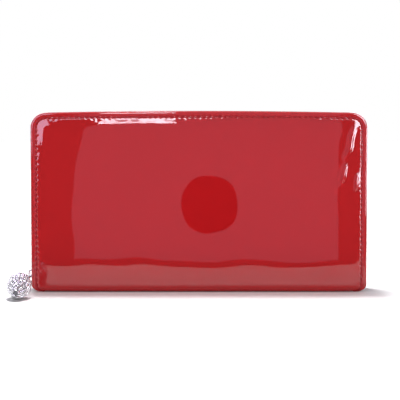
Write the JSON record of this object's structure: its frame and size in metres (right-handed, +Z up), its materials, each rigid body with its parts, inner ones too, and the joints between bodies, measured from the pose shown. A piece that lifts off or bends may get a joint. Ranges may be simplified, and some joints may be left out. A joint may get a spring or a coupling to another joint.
{
  "type": "zip around wallet",
  "caption": "Long zip-around wallet in glossy red patent leather with card pockets, a zipped coin pocket and a crystal-set drop charm on the zip slider.",
  "frame": {"origin": "middle of the flat under the spine, on the surface that the wallet stands on", "axes": "+X along the wallet's length to the right, -Y to the front cover, +Z up to the zipped edge"},
  "size_m": [0.2056, 0.0707, 0.105],
  "materials": {
    "patent_leather": "high gloss patent",
    "inner_leather": "satin smooth grain",
    "lining": "fine twill",
    "board": "matt",
    "zip_tape": "woven",
    "polished_metal": "polished",
    "crystal": "cut and polished"
  },
  "bodies": {
    "spine": {"spine_leather": "patent_leather", "spine_board": "board", "spine_lining": "lining", "left_end_tab": "patent_leather", "right_end_tab": "patent_leather", "left_tape_tails": "zip_tape", "right_tape_tails": "zip_tape", "zip_bottom_stop": "polished_metal", "coin_pocket_front_wall": "inner_leather", "coin_pocket_back_wall": "inner_leather", "coin_pocket_side_strip": "inner_leather", "coin_zip_front_tape": "zip_tape", "coin_zip_back_tape": "zip_tape", "coin_zip_front_teeth": "polished_metal", "coin_zip_back_teeth": "polished_metal", "coin_zip_stops": "polished_metal", "front_left_gusset": "inner_leather", "front_right_gusset": "inner_leather", "back_left_gusset": "inner_leather", "back_right_gusset": "inner_leather"},
    "front_cover": {"front_cover_leather": "patent_leather", "front_cover_board": "board", "front_cover_lining": "lining", "front_card_backing": "inner_leather", "front_high_card_pocket": "inner_leather", "front_middle_card_pocket": "inner_leather", "front_low_card_pocket": "inner_leather", "front_zip_tape": "zip_tape", "front_zip_teeth": "polished_metal"},
    "back_cover": {"back_cover_leather": "patent_leather", "back_cover_board": "board", "back_cover_lining": "lining", "back_card_backing": "inner_leather", "back_high_card_pocket": "inner_leather", "back_middle_card_pocket": "inner_leather", "back_low_card_pocket": "inner_leather", "back_zip_tape": "zip_tape", "back_zip_teeth": "polished_metal"},
    "zip_slider": {"zip_slider_body": "polished_metal", "zip_slider_bridge": "polished_metal"},
    "pull_link": {"pull_link": "polished_metal"},
    "charm": {"charm_cap": "polished_metal", "charm_body": "polished_metal", "charm_stones": "crystal"},
    "coin_slider": {"coin_slider_body": "polished_metal", "coin_slider_bridge": "polished_metal"},
    "coin_pull": {"coin_pull_tab": "polished_metal"}
  },
  "joints": [
    {"name": "front_cover_open", "type": "hinge", "parent": "spine", "child": "front_cover", "pos_m": [0, -0.0125, 0.01], "axis": [1, 0, 0], "range_deg": [0, 40], "deforming": ["front_left_gusset", "front_right_gusset"]},
    {"name": "back_cover_open", "type": "hinge", "parent": "spine", "child": "back_cover", "pos_m": [0, 0.0125, 0.01], "axis": [-1, 0, 0], "range_deg": [0, 40], "deforming": ["back_left_gusset", "back_right_gusset"]},
    {"name": "zip_slide", "type": "slide", "parent": "spine", "child": "zip_slider", "axis": [0, 0, 1], "range_m": [0, 0.08], "deforming": ["front_zip_teeth", "back_zip_teeth"]},
    {"name": "pull_link_swing", "type": "hinge", "parent": "zip_slider", "child": "pull_link", "pos_m": [-0.10085, 0, 0.0079], "axis": [1, 0, 0], "range_deg": [-40, 15]},
    {"name": "charm_swing", "type": "hinge", "parent": "pull_link", "child": "charm", "pos_m": [-0.10085, -0.0295, 0.0094], "axis": [0.9997, -0.0262, 0], "range_deg": [-40, 30]},
    {"name": "coin_zip_slide", "type": "slide", "parent": "spine", "child": "coin_slider", "axis": [-1, 0, 0], "range_m": [0, 0.148], "deforming": ["coin_zip_front_teeth", "coin_zip_back_teeth"]},
    {"name": "coin_pull_swing", "type": "hinge", "parent": "coin_slider", "child": "coin_pull", "pos_m": [0.07575, 0, 0.094], "axis": [0, 1, 0], "range_deg": [0, 150]}
  ]
}
